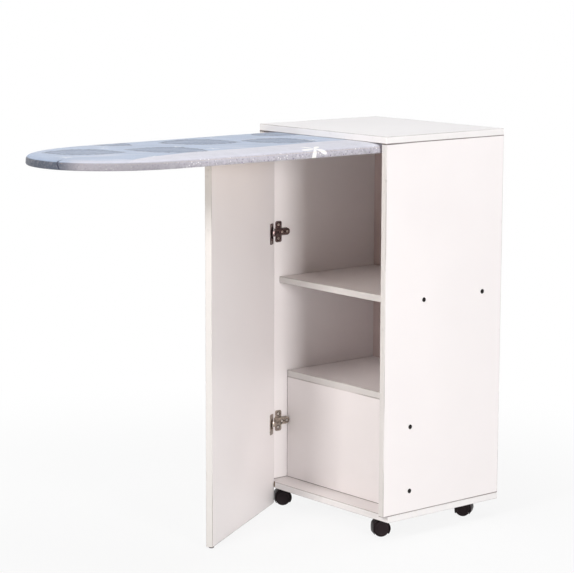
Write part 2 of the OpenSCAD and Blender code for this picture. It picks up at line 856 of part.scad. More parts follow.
caster_housing(1, caster_ends[1], rear_right_turn);  // rear_right_caster_housing
caster_kingpin(-1, caster_ends[0], front_left_turn);  // front_left_caster_kingpin
caster_kingpin(1, caster_ends[0], front_right_turn);  // front_right_caster_kingpin
caster_kingpin(-1, caster_ends[1], rear_left_turn);  // rear_left_caster_kingpin
caster_kingpin(1, caster_ends[1], rear_right_turn);  // rear_right_caster_kingpin
caster_wheels(-1, caster_ends[0], front_left_turn);  // front_left_caster_wheels
caster_wheels(1, caster_ends[0], front_right_turn);  // front_right_caster_wheels
caster_wheels(-1, caster_ends[1], rear_left_turn);  // rear_left_caster_wheels
caster_wheels(1, caster_ends[1], rear_right_turn);  // rear_right_caster_wheels
caster_axle(-1, caster_ends[0], front_left_turn);  // front_left_caster_axle
caster_axle(1, caster_ends[0], front_right_turn);  // front_right_caster_axle
caster_axle(-1, caster_ends[1], rear_left_turn);  // rear_left_caster_axle
caster_axle(1, caster_ends[1], rear_right_turn);  // rear_right_caster_axle
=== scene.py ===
"""Looks of a mirrored ironing board cabinet: finishes, padded cover, metal parts and stage."""

import json
import math

import bmesh
import bpy
import numpy as np
from mathutils import Matrix, Vector

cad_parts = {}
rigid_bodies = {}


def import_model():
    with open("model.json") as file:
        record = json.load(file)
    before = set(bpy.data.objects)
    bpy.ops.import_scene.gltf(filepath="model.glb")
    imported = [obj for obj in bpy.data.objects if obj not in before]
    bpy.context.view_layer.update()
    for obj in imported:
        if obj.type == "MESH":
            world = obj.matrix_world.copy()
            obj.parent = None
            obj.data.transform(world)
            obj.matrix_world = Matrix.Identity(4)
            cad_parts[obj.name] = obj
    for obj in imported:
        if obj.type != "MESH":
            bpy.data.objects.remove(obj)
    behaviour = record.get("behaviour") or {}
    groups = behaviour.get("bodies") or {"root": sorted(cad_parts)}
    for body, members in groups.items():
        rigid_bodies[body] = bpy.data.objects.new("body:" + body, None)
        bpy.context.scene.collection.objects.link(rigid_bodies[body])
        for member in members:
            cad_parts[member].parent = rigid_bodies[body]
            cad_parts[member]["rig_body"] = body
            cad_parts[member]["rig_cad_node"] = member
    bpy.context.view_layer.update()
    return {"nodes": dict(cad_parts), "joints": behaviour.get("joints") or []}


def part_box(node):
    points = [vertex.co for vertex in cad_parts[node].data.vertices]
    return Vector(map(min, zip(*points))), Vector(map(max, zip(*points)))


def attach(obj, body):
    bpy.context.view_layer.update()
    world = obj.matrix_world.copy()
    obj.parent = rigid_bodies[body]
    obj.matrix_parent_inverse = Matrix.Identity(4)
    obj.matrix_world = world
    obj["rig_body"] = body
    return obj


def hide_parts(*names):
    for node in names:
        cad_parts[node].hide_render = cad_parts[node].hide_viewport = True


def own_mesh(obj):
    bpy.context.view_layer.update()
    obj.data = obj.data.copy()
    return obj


bl_info = {
    "name": "Mirrored Ironing Board Cabinet",
    "version": (1, 0, 0),
    "blender": (4, 5, 0),
    "location": "View3D > Sidebar > Ironing Cabinet",
    "description": "Finishes and soft parts of an ironing board cabinet with a mirror on its door",
    "category": "Object",
}

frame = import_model()
NODES = frame["nodes"]
HINGE = Vector(next(joint["pos_m"] for joint in frame["joints"] if joint["name"] == "door_hinge"))
CASTERS = ("front_left", "front_right", "rear_left", "rear_right")
MM = 0.001
# Thickness of the strips on the panels' edges
STRIP = 0.9 * MM
# How far the ironing board reaches into the cabinet
TAIL = 0.049


# ---- Sizes and colours that a user would change ----


def setting(kind, **options):
    """A maker of values of one kind, each with a name, a description and a default."""
    return lambda name, description, default: kind(name=name, description=description,
                                                   default=default, **options)


size = setting(bpy.props.FloatProperty, min=0.0, unit="LENGTH", precision=4)
share = setting(bpy.props.FloatProperty, min=0.0, max=1.0, subtype="FACTOR")
colour = setting(bpy.props.FloatVectorProperty, size=3, min=0.0, max=1.0, subtype="COLOR")
angle = setting(bpy.props.FloatProperty, unit="ROTATION")
power = setting(bpy.props.FloatProperty, unit="POWER")
number = setting(bpy.props.FloatProperty)
place = setting(bpy.props.FloatVectorProperty, size=3, subtype="TRANSLATION")
pixel = setting(bpy.props.FloatVectorProperty, size=2)


class BoardFinishSettings(bpy.types.PropertyGroup):
    """Colours of panels, hardboard and raw board."""

    coat: colour("Coat", "White melamine coat of the panels", (0.90, 0.86, 0.855))
    # The edge strips' colours are darker than the coat as painted shade, those of the sides,
    # shelves and door more than those of the top and bottom.
    edge_band: colour("Edge band", "Edge strips of sides, shelves and door", (0.71, 0.688, 0.667))
    pale_band: colour("Pale edge band", "Edge strips of top and bottom panel", (0.85, 0.828, 0.82))
    joint_line: colour("Joint line", "Fine line between a face and its edge strip",
                       (0.33, 0.29, 0.27))
    seam: colour("Seam", "Shadow in the seams between panels", (0.13, 0.105, 0.10))
    chips: colour("Chips", "Raw chipboard in holes and under the board", (0.52, 0.37, 0.22))
    # The lacquer's colour is darkened and warmed below white: painted shade inside the cabinet.
    lacquer_with_painted_shade: colour("Lacquer", "White lacquer on the hardboard's inner face", (0.66, 0.535, 0.515))
    hardboard: colour("Hardboard", "Raw rear face of the hardboard back", (0.33, 0.20, 0.12))
    roughness: share("Roughness", "Roughness of the melamine coat", 0.42)
    door_open: angle("Door open", "How far the door stands open at rest", math.radians(59.0))


class CoverSettings(bpy.types.PropertyGroup):
    """Sizes and colours of the padded cover."""

    nose_length: size("Nose length", "Length of the rounded nose", 0.237)
    nose_half_width: size("Nose half width", "Half the width where the nose begins", 0.181)
    nose_power: number("Nose power", "Roundness of the nose, where 2 is an ellipse", 2.1)
    top_round: size("Top rounding", "Radius of the soft upper edge", 0.0075)
    low_round: size("Lower rounding", "Radius of the lower edge", 0.0032)
    hem: size("Hem", "Width of the gathered hem under the board", 0.030)
    drawstring: size("Drawstring", "Diameter of the drawstring in the hem", 0.0034)
    pucker: size("Pucker", "Height of the gathers in the hem", 0.0006)
    crown: size("Crown", "Rise of the padding above the rim", 0.0020)
    swell: size("Swell", "How far the padded cloth may swell", 0.0008)
    ground: colour("Ground", "Pale blue ground of the print", (0.352, 0.425, 0.56))
    motif: colour("Motif", "Darker blue of the printed leaves", (0.155, 0.205, 0.315))
    border: colour("Border", "Pale lilac border on the top", (0.64, 0.635, 0.71))
    heather: colour("Heather", "Heathered lilac grey of the side", (0.50, 0.48, 0.53))
    fleck: colour("Fleck", "Light flecks and sprigs", (0.92, 0.91, 0.89))
    dark_fleck: colour("Dark fleck", "Dark flecks in the side", (0.17, 0.14, 0.22))
    seam: colour("Seam", "Dark seam across the edge", (0.03, 0.035, 0.06))
    nose_side: colour("Nose side", "Slate blue of the cloth round the nose", (0.068, 0.082, 0.112))


class MetalSettings(bpy.types.PropertyGroup):
    """Colours and edges of the hinges, screws and pins."""

    # The upper hinge is the same nickel as the lower one, darkened as painted shade.
    upper_hinge_painted_shade: colour("Upper hinge", "Darkened nickel of the upper hinge", (0.24, 0.175, 0.17))
    nickel: colour("Lower hinge", "Brighter nickel of the lower hinge", (0.50, 0.43, 0.37))
    screw_pitch: size("Screw pitch", "Distance between a mounting plate's screws", 0.032)
    # Painted shade in the hinges' recesses round their screws.
    painted_recess_shade: colour("Recess", "Shadowed grease round the hinges' screws", (0.03, 0.022, 0.020))
    screw: colour("Hinge screw", "Bright nickel of the hinges' screws", (0.80, 0.76, 0.71))
    zinc: colour("Zinc", "Zinc plate of pins and small screws", (0.62, 0.60, 0.57))
    dark: colour("Screw head", "Dark screws in the sides and their caps", (0.012, 0.010, 0.010))
    cover: size("Screw cover", "Diameter of the caps over these screws", 0.0105)
    soft_edge: size("Soft edge", "Rounding of the pressed parts' edges", 0.0003)


class CasterSettings(bpy.types.PropertyGroup):
    """Colours of the casters and the door's foot, and sizes of the hoods' bands."""

    hood: colour("Hood", "Black nylon of the caster housings", (0.0125, 0.008, 0.009))
    wheel: colour("Wheel", "Black wheels", (0.0135, 0.009, 0.010))
    band_radius: size("Hood radius", "Outer radius of the hood's band", 0.0206)
    band_width: size("Hood width", "Width of the hood's band", 0.0294)
    band_drop: size("Hood drop", "Reach of the hood's band below the axle", 0.0115)
    swivel: size("Swivel circle", "Radius that the door leaves free", 0.0343)
    foot: colour("Foot", "Plastic foot under the door", (0.05, 0.04, 0.04))


class MirrorSettings(bpy.types.PropertyGroup):
    """Shape and colours of the mirror."""

    facet: size("Bevel width", "Width of the ground bevel", 0.014)
    facet_drop: size("Bevel depth", "Depth of the bevel at the edge", 0.0011)
    silver: colour("Silver", "Reflecting coat behind the glass", (0.86, 0.89, 0.89))
    edge_glass: colour("Glass edge", "Greenish tint of the glass's edge", (0.25, 0.42, 0.37))


class StageSettings(bpy.types.PropertyGroup):
    """Camera, lamps and floor."""

    camera: place("Camera", "Where the camera stands", (3.4985, -2.8042, 1.2900))
    yaw: angle("Yaw", "Heading of the camera, from +Y towards +X", math.radians(-50.237))
    pitch: angle("Pitch", "Tilt of the camera, upwards", math.radians(-9.307))
    roll: angle("Roll", "Roll of the camera", math.radians(0.163))
    focal_pixels: number("Focal length", "Focal length in pixels of the picture", 2093.3)
    centre: pixel("Picture centre", "Pixel that the camera points at", (290.9, 289.9))
    key: power("Key light", "Power of the lamp at the right", 107.0)
    front: power("Front light", "Power of the front lamp", 54.0)
    top: power("Top light", "Power of the lamp overhead", 40.0)
    left: power("Left light", "Power of the lamp at the left", 24.0)
    rear: power("Rear light", "Power of the lamp behind", 28.0)
    ambient: share("Ambient", "Strength of the pale surroundings", 0.045)
    floor: colour("Floor", "Colour of the floor", (0.78, 0.78, 0.78))


SETTINGS = {
    "board_finish": BoardFinishSettings,
    "board_cover": CoverSettings,
    "metal_finish": MetalSettings,
    "caster_finish": CasterSettings,
    "mirror_finish": MirrorSettings,
    "stage": StageSettings,
}


def settings(name):
    """The scene's values of one of the groups above."""
    return getattr(bpy.context.scene, "cabinet_" + name)


# ---- Shader maths ----


def math_node(operation, swapped=False):
    """A method of a field that adds one Math node."""

    def method(self, *others):
        values = (*others, self) if swapped else (self, *others)
        return self.add("ShaderNodeMath", dict(enumerate(values)), operation=operation)

    return method


class Field:
    """A socket of a material's nodes that Python's operators work on."""

    __add__ = __radd__ = math_node("ADD")
    __sub__ = math_node("SUBTRACT")
    __rsub__ = math_node("SUBTRACT", swapped=True)
    __mul__ = __rmul__ = math_node("MULTIPLY")
    __abs__ = math_node("ABSOLUTE")
    least = math_node("MINIMUM")
    most = math_node("MAXIMUM")
    sine = math_node("SINE")
    sign = math_node("SIGN")
    atan2 = math_node("ARCTAN2")

    def __init__(self, shading, socket):
        self.add = shading.add
        self.socket = socket

    def ramp(self, low, high):
        """0 below low, 1 above high, and a smooth rise between them."""
        return self.add("ShaderNodeMapRange",
                        {"Value": self, "From Min": low, "From Max": high},
                        interpolation_type="SMOOTHSTEP")

    def fall(self, low, high):
        """1 below low, 0 above high, and a smooth fall between them."""
        return 1 - self.ramp(low, high)

    def near(self, value, low, high):
        """1 within low of a value, and 0 from high onwards."""
        return abs(self - value).fall(low, high)

    def part(self, axis):
        """One component of a vector."""
        return self.add("ShaderNodeSeparateXYZ", {0: self}, axis)

    def moved(self, place=(0, 0, 0), turn=0.0, unit=(1, 1, 1)):
        """A vector measured from a place, along axes turned about Z, in units of these lengths."""
        return self.add("ShaderNodeMapping", {"Vector": self, "Location": place,
                                              "Rotation": (0, 0, turn), "Scale": unit},
                        vector_type="TEXTURE")

    def length(self):
        """A vector's length."""
        return self.add("ShaderNodeVectorMath", {0: self}, "Value", operation="LENGTH")


class Shading:
    """The nodes of a material or of the surroundings."""

    def __init__(self, owner):
        owner.use_nodes = True
        self.tree = owner.node_tree
        self.tree.nodes.clear()

    def add(self, kind, sockets=None, output=0, **choices):
        """Adds a node: sets its choices, then the values or links of its sockets."""
        node = self.tree.nodes.new(kind)
        for name, value in choices.items():
            setattr(node, name, value)
        for name, value in (sockets or {}).items():
            if isinstance(value, Field):
                self.tree.links.new(value.socket, node.inputs[name])
            else:
                node.inputs[name].default_value = value
        return Field(self, node.outputs[output] if node.outputs else None)

    def ray(self, kind):
        """1 for rays of this kind, and 0 for others."""
        return self.add("ShaderNodeLightPath", output=f"Is {kind} Ray")

    def end(self, shader, kind="ShaderNodeOutputMaterial"):
        """Links a shader to the surface."""
        self.add(kind, {"Surface": shader})


class Finish(Shading):
    """One procedural material."""

    def __init__(self, name):
        self.material = bpy.data.materials.new(name)
        super().__init__(self.material)
        self.place = self.add("ShaderNodeTexCoord", output="Object")

    def axes(self):
        """The place along X, Y and Z."""
        return [self.place.part(axis) for axis in range(3)]

    def vector(self, x, y):
        """A flat vector from two numbers."""
        return self.add("ShaderNodeCombineXYZ", {0: x, 1: y})

    def noise(self, scale, detail=2.0, roughness=0.5, unit=None, turn=0.0):
        """Soft noise round 0.5, with about that many swells in a metre, or in each axis's unit."""
        where = self.place.moved(turn=turn, unit=unit) if unit else self.place
        return self.add("ShaderNodeTexNoise", {"Vector": where, "Scale": scale, "Detail": detail,
                                               "Roughness": roughness})

    def cells(self, scale, shift=None, output="Distance"):
        """A pattern of cells, with about that many in a metre."""
        where = self.place.moved(shift) if shift else self.place
        return self.add("ShaderNodeTexVoronoi", {"Vector": where, "Scale": scale}, output)

    def attribute(self, name):
        """A number that the mesh keeps for each of its points."""
        return self.add("ShaderNodeAttribute", output="Fac", attribute_name=name)

    def mix(self, first, second, factor):
        """A colour between two colours."""
        ends = [c if isinstance(c, Field) else (*c, 1.0) for c in (first, second)]
        return self.add("ShaderNodeMix", {0: factor, 6: ends[0], 7: ends[1]}, 2, data_type="RGBA")

    def shade(self, tint, roughness, height, depth, **more):
        """Ends the material in one glossy shader, with a bump that stands for a depth in metres."""
        normal = self.add("ShaderNodeBump", {"Height": height, "Distance": depth, "Strength": 1.0})
        values = {"Base Color": tint, "Roughness": roughness, "Normal": normal}
        values.update({name.replace("_", " "): value for name, value in more.items()})
        self.end(self.add("ShaderNodeBsdfPrincipled", values))
        return self.material


def scaled(tint, factor, more=0.0):
    """A colour made darker or lighter."""
    return [min(1.0, c * factor + more) for c in tint]


# ---- Finishes ----


def depths_in(finish, low, high, turn, pivot):
    """A point's places from a box's middle and its depths inside, once both are turned back."""
    place = finish.place.moved(pivot, -turn)
    offsets = [place.part(i) - ((low[i] + high[i]) / 2 - pivot[i]) for i in range(3)]
    return offsets, [(high[i] - low[i]) / 2 - abs(offsets[i]) for i in range(3)]


def coated_board(name, low, high, band, turn=0.0, pivot=(0, 0, 0), butted=()):
    """White melamine on chipboard, for a panel with these corners once it is turned back.

    Butted names the ends that stand against another panel, each as an axis and the end's direction.
    """
    look, finish = settings("board_finish"), Finish(name)
    offsets, depths = depths_in(finish, low, high, turn, pivot)
    half = [(b - a) / 2 for a, b in zip(low, high)]
    thin = half.index(min(half))
    along = [depths[i] for i in range(3) if i != thin]
    to_rim = along[0].least(along[1])
    depth = to_rim.least(depths[thin])
    raw = depth.ramp(STRIP, STRIP + 0.3 * MM)
    on_edge = depths[thin].ramp(0.3 * MM, 0.6 * MM)
    joint = to_rim.near(STRIP, 0.30 * MM, 0.85 * MM) * (1 - on_edge)
    grain = finish.noise(620.0)
    scuff = finish.noise(34.0, 5.0, 0.68).ramp(0.60, 0.74)
    corner = depth.fall(0.05 * MM, STRIP)
    rub = to_rim.fall(0.0, 9 * MM) * scuff
    cloud = finish.noise(2.6, 3.0).ramp(0.35, 0.7)
    coat = finish.mix(look.coat, scaled(look.coat, 0.965), cloud)
    # painted shade: the edge strips take a darker colour than the coat
    coat = finish.mix(coat, band, on_edge)
    glue = depths[thin].near(0.6 * MM, 0.25 * MM, 0.6 * MM) * to_rim.fall(0.1 * MM, 0.3 * MM)
    open_joint = joint.most(glue * 0.8) * (0.35 + 0.65 * finish.noise(4.5).ramp(0.42, 0.58))
    worn = open_joint * 0.95 + rub * 0.22 * (0.4 + 0.6 * corner)
    coat = finish.mix(coat, look.joint_line, worn)
    # painted shadow in the seams where panels butt, wider under the top panel near the front
    for axis, end in butted:
        gap = half[axis] - offsets[axis] * end
        line = gap.fall(0.9 * MM, 1.9 * MM) * 0.85
        if axis == 2 and end > 0:
            at_front = (offsets[1] + half[1]).fall(0.012, 0.10)
            line = line.most(gap.fall(2.0 * MM, 3.0 * MM) * at_front)
        coat = finish.mix(coat, look.seam, line)
    chips = finish.mix(look.chips, scaled(look.chips, 0.45), finish.cells(420.0).ramp(0.2, 0.9))
    shine = look.roughness + (grain - 0.5) * 0.10 + rub * 0.2 + raw * 0.45 + on_edge * 0.05
    dents = grain * 0.5 + finish.noise(90.0, 1.0) * 0.5
    height = dents - joint * 1.2 + raw * finish.noise(900.0) * 6
    return finish.shade(finish.mix(coat, chips, raw), shine, height, 0.035 * MM, IOR=1.46)


def hardboard(front):
    """Hardboard with lacquer on its front face, darkened and warmed as painted shade, and bare,
    screened fibre behind.
    """
    look, finish = settings("board_finish"), Finish("hardboard_back")
    x, y, z = finish.axes()
    bare = y.ramp(front + 0.3 * MM, front + 0.6 * MM)
    wire = 2 * math.pi / (1.4 * MM)
    screen = (x * wire).sine() * (z * wire).sine()
    fibre = finish.noise(260.0, 6.0, 0.7)
    brown = finish.mix(look.hardboard, scaled(look.hardboard, 0.55), fibre.ramp(0.35, 0.7))
    blotch = finish.noise(7.0, 3.0).ramp(0.3, 0.75)
    brown = finish.mix(brown, scaled(look.hardboard, 1.35), blotch * 0.35)
    cloud = finish.noise(3.0, 3.0).ramp(0.3, 0.7)
    # painted shade: the lacquer is darker and warmer than the white coat
    coat = finish.mix(look.lacquer_with_painted_shade, scaled(look.lacquer_with_painted_shade, 0.95), cloud)
    return finish.shade(finish.mix(coat, brown, bare), 0.45 + bare * 0.4,
                        bare * (screen * 0.5 + fibre) + fibre * 0.1, 0.12 * MM, IOR=1.45)


def chipboard():
    """Sanded raw chipboard."""
    look, finish = settings("board_finish"), Finish("raw_core")
    tone = finish.add("ShaderNodeSeparateColor", {0: finish.cells(430.0, output="Color")})
    fine = finish.noise(900.0, 3.0)
    wood = finish.mix(look.chips, scaled(look.chips, 1.3), tone * 0.8)
    wood = finish.mix(wood, scaled(look.chips, 0.5), finish.cells(260.0).ramp(0.60, 0.95) * fine)
    return finish.shade(wood, 0.78 + fine * 0.12, tone * 0.4 + fine, 0.08 * MM, IOR=1.4)


def turned_wood():
    """Fluted beech of the dowels."""
    finish = Finish("beech")
    rays = finish.noise(300.0, 4.0, unit=(1, 1, 8))
    tone = finish.mix((0.55, 0.36, 0.2), (0.40, 0.24, 0.12), rays.ramp(0.35, 0.7))
    return finish.shade(tone, 0.6 + rays * 0.2, rays, 0.05 * MM)


def plated(name, tint, roughness):
    """Plated or bare metal, with fine grain, fingermarks and darker worn spots."""
    finish = Finish(name)
    grain = finish.noise(1500.0, 3.0)
    marks = finish.noise(70.0, 4.0, 0.6)
    spots = finish.noise(230.0, 3.0).ramp(0.58, 0.75)
    tone = finish.mix(tint, scaled(tint, 0.62), marks.ramp(0.4, 0.75))
    tone = finish.mix(tone, scaled(tint, 0.35), spots * 0.5)
    shine = roughness + (grain - 0.5) * 0.2 + spots * 0.25 + (marks - 0.5) * 0.1
    return finish.shade(tone, shine, grain * 0.6 + marks * 0.4, 0.02 * MM, Metallic=1.0)


def hinge_metal(name, tint, marks):
    """Plated pressed steel with painted shade in the recesses round its screws, at these places
    along Y and Z.
    """
    finish = Finish(name)
    drawn = finish.noise(1500.0, 3.0, unit=(1, 1, 5))
    stain = finish.noise(120.0, 4.0, 0.65)
    across, along = finish.axes()[1:]
    rings = 0.0
    for y, z, radius in marks:
        spot = finish.vector(across - y, along - z)
        rings = spot.length().near(radius, 0.35 * MM, 1.0 * MM).most(rings)
    tone = finish.mix(tint, scaled(tint, 0.45), stain.ramp(0.42, 0.66))
    # painted shade in the recesses round the screws
    tone = finish.mix(tone, settings("metal_finish").painted_recess_shade, rings * 0.9)
    shine = 0.33 + (drawn - 0.5) * 0.2 + (stain - 0.5) * 0.3 + rings * 0.2
    return finish.shade(tone, shine, drawn * 0.5 + stain * 0.5, 0.05 * MM, Metallic=1.0)


def moulded(name, tint, roughness, dusty, ior=1.45):
    """Moulded plastic with a fine spark-eroded texture and a little dust and scuffing."""
    finish = Finish(name)
    spark = finish.noise(1400.0)
    grime = finish.noise(95.0, 5.0, 0.65).ramp(0.52, 0.8)
    tone = finish.mix(tint, scaled(tint, 1.5, 0.001), finish.noise(30.0).ramp(0.3, 0.7))
    tone = finish.mix(tone, (0.25, 0.23, 0.22), grime * dusty)
    shine = roughness + grime * 0.25 + (spark - 0.5) * 0.08
    return finish.shade(tone, shine, spark + grime * 0.5, 0.03 * MM, IOR=ior)


def silvered_glass(low, high, turn):
    """A mirror's face, with a ground bevel, greenish glass at its edges and the finest dust."""
    look, finish = settings("mirror_finish"), Finish("silvered_glass")
    depths = depths_in(finish, low, high, turn, HINGE)[1]
    inset = depths[0].least(depths[2])
    rim = inset.fall(0.15 * MM, 0.5 * MM)
    bevel = inset.fall(look.facet - 0.3 * MM, look.facet)
    crease = inset.near(look.facet, 0.3 * MM, 1.1 * MM)
    dust = finish.noise(45.0, 5.0, 0.7).ramp(0.58, 0.85)
    tone = finish.mix(look.silver, look.edge_glass, bevel * 0.22 + crease * 0.45)
    tone = finish.mix(tone, look.edge_glass, rim)
    return finish.shade(tone, 0.012 + dust * 0.035 + rim * 0.12, finish.noise(6.0, 1.0),
                        0.004 * MM, Metallic=1 - rim * 0.75)


# Printed leaves: metres out from the cabinet's front, metres to the right, turn, length and width
LEAVES = (
    (0.605, -0.035, 0.95, 0.175, 0.120), (0.440, 0.030, 0.75, 0.180, 0.120),
    (0.285, -0.070, 1.05, 0.185, 0.125), (0.130, 0.010, 0.85, 0.170, 0.115),
    (0.465, -0.150, 0.45, 0.120, 0.080), (0.020, -0.120, 1.30, 0.150, 0.100),
)
# Printed sprigs: metres out, metres to the right, turn and breadth
SPRIGS = (
    (0.690, 0.030, 0.3, 0.034), (0.520, -0.085, 1.1, 0.030), (0.345, 0.060, 0.2, 0.034),
    (0.172, 0.180, 1.9, 0.080), (0.060, 0.045, 0.9, 0.036), (0.190, -0.150, 1.6, 0.032),
    (0.540, 0.115, 0.5, 0.028), (0.380, -0.020, 2.6, 0.026),
)
# How far right of the middle the seam crosses the nose
NOSE_SEAM = 0.052


def printed_leaves(finish, flat, front, wobble):
    """The leaves' shapes, their veins and their dark margins."""
    serration = (finish.noise(120.0) - 0.5) * 0.3
    leaves = veins = margins = 0.0
    for out, right, turn, length, width in LEAVES:
        spot = flat.moved((right, front - out, 0), turn, (length / 2, width / 2, 1))
        x, y = spot.part(0), spot.part(1)
        bend = y + x * x * 0.25 - 0.10
        inwards = 1 - x * x + wobble * 0.7 + serration * 1.5 - abs(bend)
        shape = inwards.ramp(0.0, 0.03)
        ribs = ((abs(bend) * 1.6 - x) * 17).sine().ramp(0.72, 0.98)
        vein = abs(bend + wobble * 0.3).fall(0.02, 0.08).most(ribs * 0.7) * shape
        margin = shape - (inwards + wobble * 0.8).ramp(0.16, 0.26)
        leaves, veins, margins = shape.most(leaves), vein.most(veins), margin.most(margins)
    return leaves, veins, margins


def printed_sprigs(flat, front, wobble):
    """Light sprigs of five petals."""
    sprigs = 0.0
    for out, right, turn, breadth in SPRIGS:
        spot = flat.moved((right, front - out, 0), turn, (breadth / 2, breadth / 2, 1))
        petals = 0.46 + 0.46 * (spot.part(1).atan2(spot.part(0)) * 5).sine()
        sprigs = (petals + wobble * 0.5 - spot.length()).ramp(0.0, 0.10).most(sprigs)
    return sprigs


def heathered_side(finish, look, out, down, at_nose, wobble):
    """The lilac grey side with its flecks, darkened towards the nose as painted shade, and slate
    blue left of the seam at the nose.
    """
    mix, noise, cells = finish.mix, finish.noise, finish.cells
    heather = noise(170.0, 4.0, 0.7)
    side = mix(look.heather, look.border, (1 - down) * 0.35)
    mottle = heather.ramp(0.42, 0.68) * (0.35 + 0.65 * down)
    side = mix(side, scaled(look.heather, 0.66), mottle)
    light = cells(125.0).fall(0.13, 0.24)
    pepper = cells(150.0, (0.3, 0.1, 0.2)).fall(0.18, 0.36)
    thin_out = noise(30.0).ramp(0.45, 0.62)
    side = mix(side, look.dark_fleck, pepper * (0.25 + 0.60 * down) * (1 - thin_out * 0.5))
    side = mix(side, look.fleck, light * 0.95 * (0.35 + 0.65 * thin_out))
    # painted shade where the side turns round the nose
    side = mix(side, scaled(look.heather, 0.5), out.ramp(0.42, 0.62) * 0.75)
    right = finish.place.part(0) + wobble * 0.02
    slate = right.fall(NOSE_SEAM, 0.105) * (0.97 - heather.ramp(0.48, 0.64) * 0.30)
    return mix(side, look.nose_side, at_nose * slate)


def printed_cotton(front, half_width, top):
    """Pale blue cotton with darker leaves, light sprigs, a pale border and a heathered side."""
    look, finish = settings("board_cover"), Finish("printed_cotton")
    mix, noise = finish.mix, finish.noise
    x, y, z = finish.axes()
    out = front - y
    across = x + x.sign() * (top - z).most(0.0)
    flat = finish.vector(across, y)
    wobble = (noise(28.0, 3.0) - 0.5) * 0.5
    from_rim, down = finish.attribute("from_rim"), finish.attribute("down_side")
    at_nose = out.ramp(0.60, 0.61)
    leaf, vein, margin = printed_leaves(finish, flat, front, wobble)

    wash = mix(look.ground, scaled(look.ground, 1.14), noise(9.0, 3.0).ramp(0.3, 0.75))
    strokes = noise(55.0, 3.0, unit=(7, 1, 1), turn=0.95).ramp(0.55, 0.72)
    wash = mix(wash, look.border, strokes * 0.7)
    tint = mix(look.motif, look.ground, noise(70.0, 4.0).ramp(0.50, 0.80) * 0.6)
    tone = mix(wash, tint, leaf * 0.9)
    tone = mix(tone, look.ground, vein * 0.5)
    tone = mix(tone, scaled(look.motif, 0.5), margin * 0.55)
    scratch = noise(120.0, 4.0, 0.7, (9, 1, 1), 0.9).ramp(0.60, 0.74)
    tone = mix(tone, look.dark_fleck, scratch * leaf * 0.6)

    breadth = 0.098 - (out - 0.42).most(0.0) * 0.32 + (out * 13 + 0.6).sine() * 0.010
    border = (half_width - x - breadth - wobble * 0.012).fall(0.0, 0.006)
    strip = (from_rim - wobble * 0.006).fall(0.014, 0.022) * x.ramp(0.05, 0.10)
    pale = mix(look.border, scaled(look.border, 0.93), noise(40.0, 4.0).ramp(0.35, 0.7))
    tone = mix(tone, pale, border.most(strip * 0.8) * (1 - leaf * 0.55))

    side = heathered_side(finish, look, out, down, at_nose, wobble)
    tone = mix(tone, side, from_rim.fall(1.0 * MM, 3.2 * MM))
    sprig = printed_sprigs(flat, front, wobble)
    tone = mix(tone, look.fleck, sprig * (0.45 + 0.55 * across.ramp(0.14, 0.16)))
    seam = (x - down * 0.006 - wobble * 0.003).near(NOSE_SEAM, 1.0 * MM, 2.0 * MM)
    seam = seam * at_nose * from_rim.fall(0.010, 0.016)
    tone = mix(tone, look.seam, seam * 0.95)

    thread = 2 * math.pi / (0.62 * MM)
    weave = (x * thread).sine() * (y * thread).sine() + (z * thread).sine() * 0.5
    slub = noise(380.0, unit=(1, 7, 1))
    tone = mix(tone, (0.0, 0.0, 0.0), (slub - 0.5).most(0.0) * 0.30)
    return finish.shade(tone, 0.82 + (slub - 0.5) * 0.2, weave * 0.35 + slub * 0.8 - seam * 3,
                        0.11 * MM, Sheen_Weight=0.25, Sheen_Roughness=0.45, IOR=1.4)


def woven_cord():
    """The drawstring's white braid."""
    finish = Finish("drawstring_braid")
    x, y, z = finish.axes()
    strands = (x * 1900 + y * 1900 + z * 2600).sine()
    tone = finish.mix((0.80, 0.78, 0.74), (0.60, 0.58, 0.55), strands.ramp(-0.4, 0.9))
    return finish.shade(tone, 0.85, strands, 0.25 * MM)


# ---- Meshes ----


def paint(piece, material):
    """Gives a piece one material."""
    piece.data.materials.clear()
    piece.data.materials.append(material)


def repaint(material, *nodes):
    """Gives parts of the frame another material."""
    for node in nodes:
        paint(NODES[node], material)


def centre_of(node):
    """The middle of the box round a part of the frame."""
    low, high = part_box(node)
    return (low + high) / 2


def select_only(piece):
    """Makes a piece the only selected and active object."""
    bpy.ops.object.select_all(action="DESELECT")
    piece.select_set(True)
    bpy.context.view_layer.objects.active = piece


def apply_modifiers(piece):
    """Applies every modifier of a piece, in order."""
    select_only(piece)
    for modifier in list(piece.modifiers):
        bpy.ops.object.modifier_apply(modifier=modifier.name)


def dress(piece, material, body, slot, *nodes):
    """Gives a piece its material and its body, and hides the parts that it stands for; slot is not
    used.
    """
    paint(piece, material)
    if nodes:
        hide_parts(*nodes)
    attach(piece, body)


def mesh_piece(name, points, faces):
    """A new smooth object from points and faces."""
    mesh = bpy.data.meshes.new(name)
    mesh.from_pydata(points, [], faces)
    mesh.update()
    piece = bpy.data.objects.new(name, mesh)
    bpy.context.scene.collection.objects.link(piece)
    mesh.shade_smooth()
    return piece


def primitive(kind, **options):
    """A new primitive, with its place, turn and scale in its mesh."""
    bpy.ops.object.select_all(action="DESELECT")
    getattr(bpy.ops.mesh, f"primitive_{kind}_add")(**options)
    bpy.ops.object.transform_apply(location=True, rotation=True, scale=True)
    return bpy.context.active_object


def pick_faces(piece, wanted):
    """Goes into edit mode and selects the faces of a piece that pass a test."""
    bpy.ops.object.mode_set(mode="EDIT")
    bpy.ops.mesh.select_mode(type="FACE")
    bpy.ops.mesh.select_all(action="DESELECT")
    for face in bmesh.from_edit_mesh(piece.data).faces:
        face.select_set(wanted(face))
    bmesh.update_edit_mesh(piece.data)


